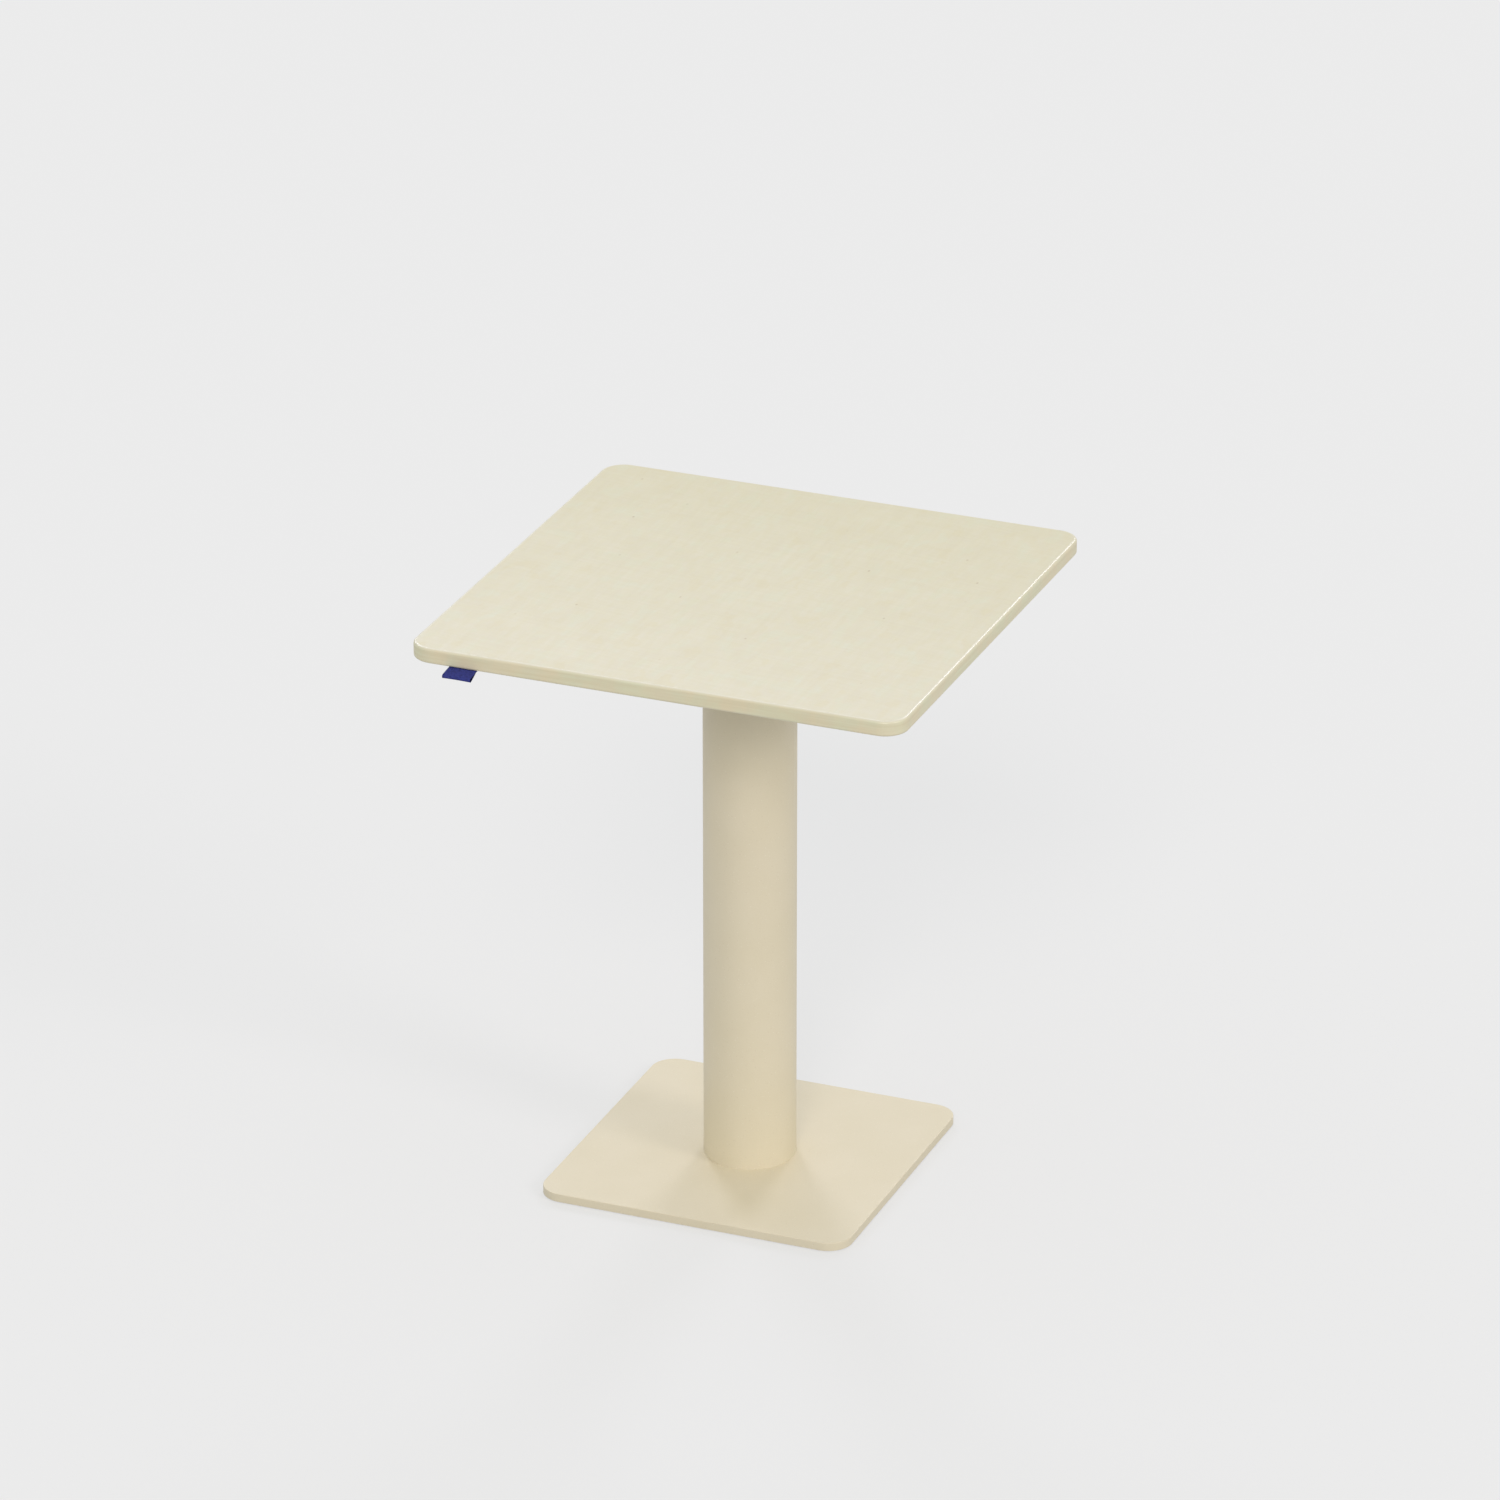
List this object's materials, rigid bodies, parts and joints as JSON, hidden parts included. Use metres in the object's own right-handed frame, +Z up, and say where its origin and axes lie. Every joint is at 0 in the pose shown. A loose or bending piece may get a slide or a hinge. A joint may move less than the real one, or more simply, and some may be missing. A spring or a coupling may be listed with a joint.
{
  "type": "telescoping pedestal table",
  "caption": "Square wooden tabletop with rounded corners on a round two-stage steel column and a flat square base plate; a lever under the top releases a gas spring to set the height.",
  "frame": {"origin": "on the floor, on the column's axis, 1 mm below the centre of the base plate's underside", "axes": "+Z up along the column, -Y towards the user and the side with the woven tag, +X to the user's right, the side with the release lever"},
  "size_m": [0.6, 0.6186, 0.733],
  "materials": {
    "birch_veneer": "satin lacquered birch veneer",
    "birch_edge": "satin lacquered birch edge",
    "backing_sheet": "plain backing veneer",
    "board": "birch plywood board",
    "cream_powder_coat": "fine-textured matt powder coat",
    "cream_plastic": "matt acetal",
    "grey_plastic": "matt acetal",
    "black_plastic": "fine-grained moulding",
    "black_rubber": "matt",
    "black_lacquer": "semi-gloss black lacquer",
    "bare_steel": "turned and phosphated",
    "zinc_steel": "bright zinc plated",
    "chrome_rod": "hard chromed and ground",
    "navy_ribbon": "woven polyester ribbon"
  },
  "bodies": {
    "base": {"base_plate": "cream_powder_coat", "base_glides": "grey_plastic", "base_screws": "zinc_steel", "foot_disc": "bare_steel", "outer_tube": "cream_powder_coat", "guide_rail": "bare_steel", "upper_guide_bush": "cream_plastic", "bump_stop": "black_rubber", "spring_cylinder": "black_lacquer", "spring_end_plug": "zinc_steel", "spring_foot_washer": "zinc_steel", "spring_foot_nut": "zinc_steel", "spring_rod_guide": "grey_plastic", "spring_rod_seal": "black_rubber"},
    "lift": {"inner_tube": "cream_powder_coat", "lower_guide_bush": "grey_plastic", "lower_bush_pins": "zinc_steel", "spring_bridge": "bare_steel", "mounting_plate": "cream_powder_coat", "mounting_screws": "zinc_steel", "threaded_inserts": "zinc_steel", "tabletop_core": "board", "top_laminate": "birch_veneer", "backing_laminate": "backing_sheet", "edge_band": "birch_edge", "fabric_tag": "navy_ribbon", "tag_staples": "zinc_steel", "piston_rod": "chrome_rod", "spring_piston": "bare_steel", "piston_seal": "black_rubber", "rod_washer": "zinc_steel", "rod_nut": "zinc_steel", "release_head": "bare_steel", "lever_pin": "zinc_steel", "lever_pin_clip": "zinc_steel"},
    "lever": {"release_lever": "black_lacquer", "lever_grip": "black_plastic"},
    "valve_pin": {"release_pin": "zinc_steel"}
  },
  "joints": [
    {"name": "column_lift", "type": "slide", "parent": "base", "child": "lift", "axis": [0, 0, 1], "range_m": [0, 0.4]},
    {"name": "lever_pull", "type": "hinge", "parent": "lift", "child": "lever", "pos_m": [0.018, 0, 0.681], "axis": [0, -1, 0], "range_deg": [0, 8], "stiffness_Nm_per_rad": 8, "springref_deg": -3.44},
    {"name": "valve_press", "type": "slide", "parent": "lift", "child": "valve_pin", "axis": [0, 0, -1], "range_m": [0, 0.0026]}
  ],
  "couplings": [
    {"joint": "valve_press", "follows": "lever_pull", "m_per_rad": 0.018}
  ]
}
